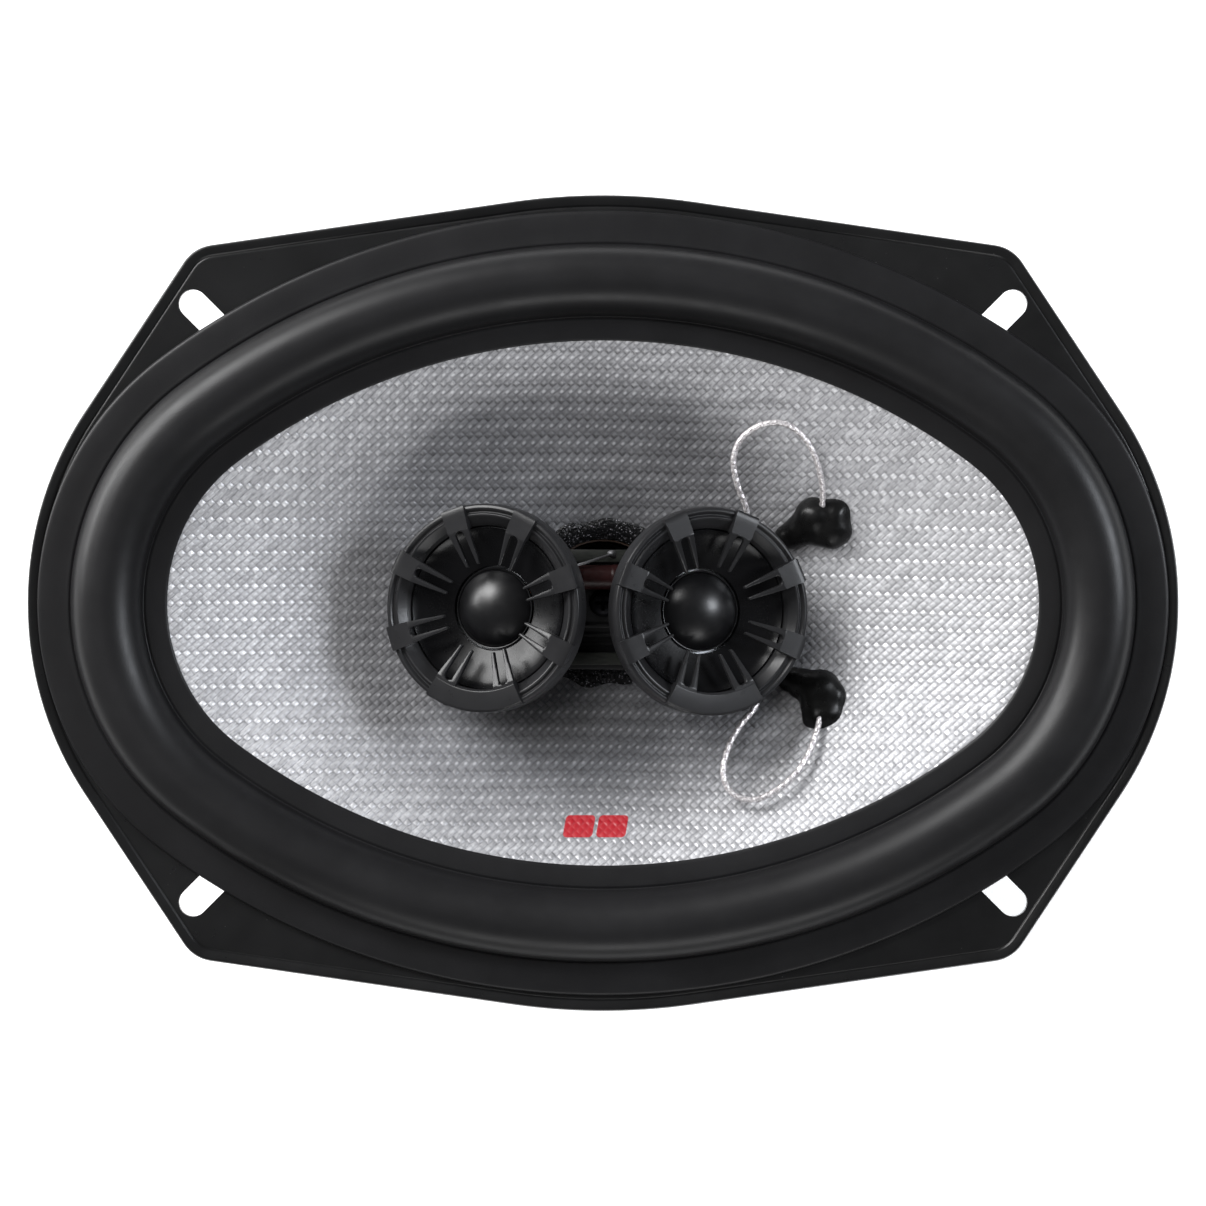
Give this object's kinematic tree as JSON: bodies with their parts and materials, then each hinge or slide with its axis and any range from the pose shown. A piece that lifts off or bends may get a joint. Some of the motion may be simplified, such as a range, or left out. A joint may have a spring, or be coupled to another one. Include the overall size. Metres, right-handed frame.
{
  "type": "coaxial car speaker",
  "caption": "Oval coaxial car loudspeaker: slotted mounting flange, rubber surround, silver woven cone and two domed tweeters leaning outwards on a bridge.",
  "frame": {"origin": "centre of the mounting flange's back face, which lies against the panel", "axes": "+Z out of the front of the speaker, +X along the long side towards the terminals, +Y along the short side"},
  "size_m": [0.235, 0.1666, 0.0959],
  "materials": {
    "black_frame_steel": "satin black powder coat",
    "rivet_steel": "satin",
    "board_phenolic": "matte brown phenolic board",
    "rivet_brass": "satin",
    "tinned_brass": "satin",
    "tinned_steel": "satin",
    "plated_steel": "zinc plated, satin",
    "ferrite": "matte dark grey",
    "boot_rubber": "matte black",
    "foam": "matte",
    "bridge_plastic": "matte",
    "black_screw": "black oxide",
    "capacitor_resin": "glossy maroon resin",
    "tag_board": "satin grey-green board",
    "glass_fibre": "silver glass fibre weave under clear resin",
    "surround_rubber": "soft satin",
    "black_glue": "glossy",
    "coil_paper": "amber film",
    "copper_wire": "enamelled copper",
    "spider_cloth": "resin-stiffened cotton",
    "tinsel_wire": "silver braid",
    "tweeter_plastic": "matte black",
    "bezel_plastic": "fine matte charcoal",
    "gloss_black_plastic": "semi-gloss black",
    "nickel_magnet": "nickel plated",
    "dome_film": "satin black"
  },
  "bodies": {
    "root": {"basket": "black_frame_steel", "basket_rivets": "rivet_steel", "terminal_board": "board_phenolic", "terminal_rivets": "rivet_brass", "positive_terminal": "tinned_brass", "negative_terminal": "tinned_steel", "top_plate": "plated_steel", "ferrite_magnet": "ferrite", "back_plate_and_pole": "plated_steel", "magnet_boot": "boot_rubber", "dust_seal": "foam", "bridge_post": "bridge_plastic", "post_screw": "black_screw", "tweeter_bridge": "bridge_plastic", "capacitor": "capacitor_resin", "upper_tag_strip": "tag_board", "lower_tag_strip": "tag_board", "left_tweeter_housing": "tweeter_plastic", "right_tweeter_housing": "tweeter_plastic", "left_tweeter_bezel": "bezel_plastic", "right_tweeter_bezel": "bezel_plastic", "left_waveguide": "gloss_black_plastic", "right_waveguide": "gloss_black_plastic", "left_tweeter_yoke": "plated_steel", "right_tweeter_yoke": "plated_steel", "left_tweeter_magnet": "nickel_magnet", "right_tweeter_magnet": "nickel_magnet", "left_pole_plate": "plated_steel", "right_pole_plate": "plated_steel"},
    "cone": {"cone": "glass_fibre", "surround": "surround_rubber", "neck_glue_ring": "black_glue", "coil_former": "coil_paper", "coil_winding": "copper_wire", "spider": "spider_cloth", "upper_glue_blob": "black_glue", "lower_glue_blob": "black_glue", "upper_tweeter_lead": "tinsel_wire", "lower_tweeter_lead": "tinsel_wire", "positive_rear_lead": "tinsel_wire", "negative_rear_lead": "tinsel_wire"},
    "left_diaphragm": {"left_dome": "dome_film", "left_dome_coil": "copper_wire"},
    "right_diaphragm": {"right_dome": "dome_film", "right_dome_coil": "copper_wire"}
  },
  "joints": [
    {"name": "cone_slide", "type": "slide", "parent": "root", "child": "cone", "axis": [0, 0, 1], "range_m": [-0.005, 0.005], "stiffness_N_per_m": 2500, "deforming": ["surround", "spider", "upper_tweeter_lead", "lower_tweeter_lead", "positive_rear_lead", "negative_rear_lead"]},
    {"name": "left_dome_slide", "type": "slide", "parent": "root", "child": "left_diaphragm", "axis": [-0.3583, 0.005, 0.9336], "range_m": [-0.00025, 0.00025], "stiffness_N_per_m": 20},
    {"name": "right_dome_slide", "type": "slide", "parent": "root", "child": "right_diaphragm", "axis": [0.3583, -0.005, 0.9336], "range_m": [-0.00025, 0.00025], "stiffness_N_per_m": 20}
  ]
}
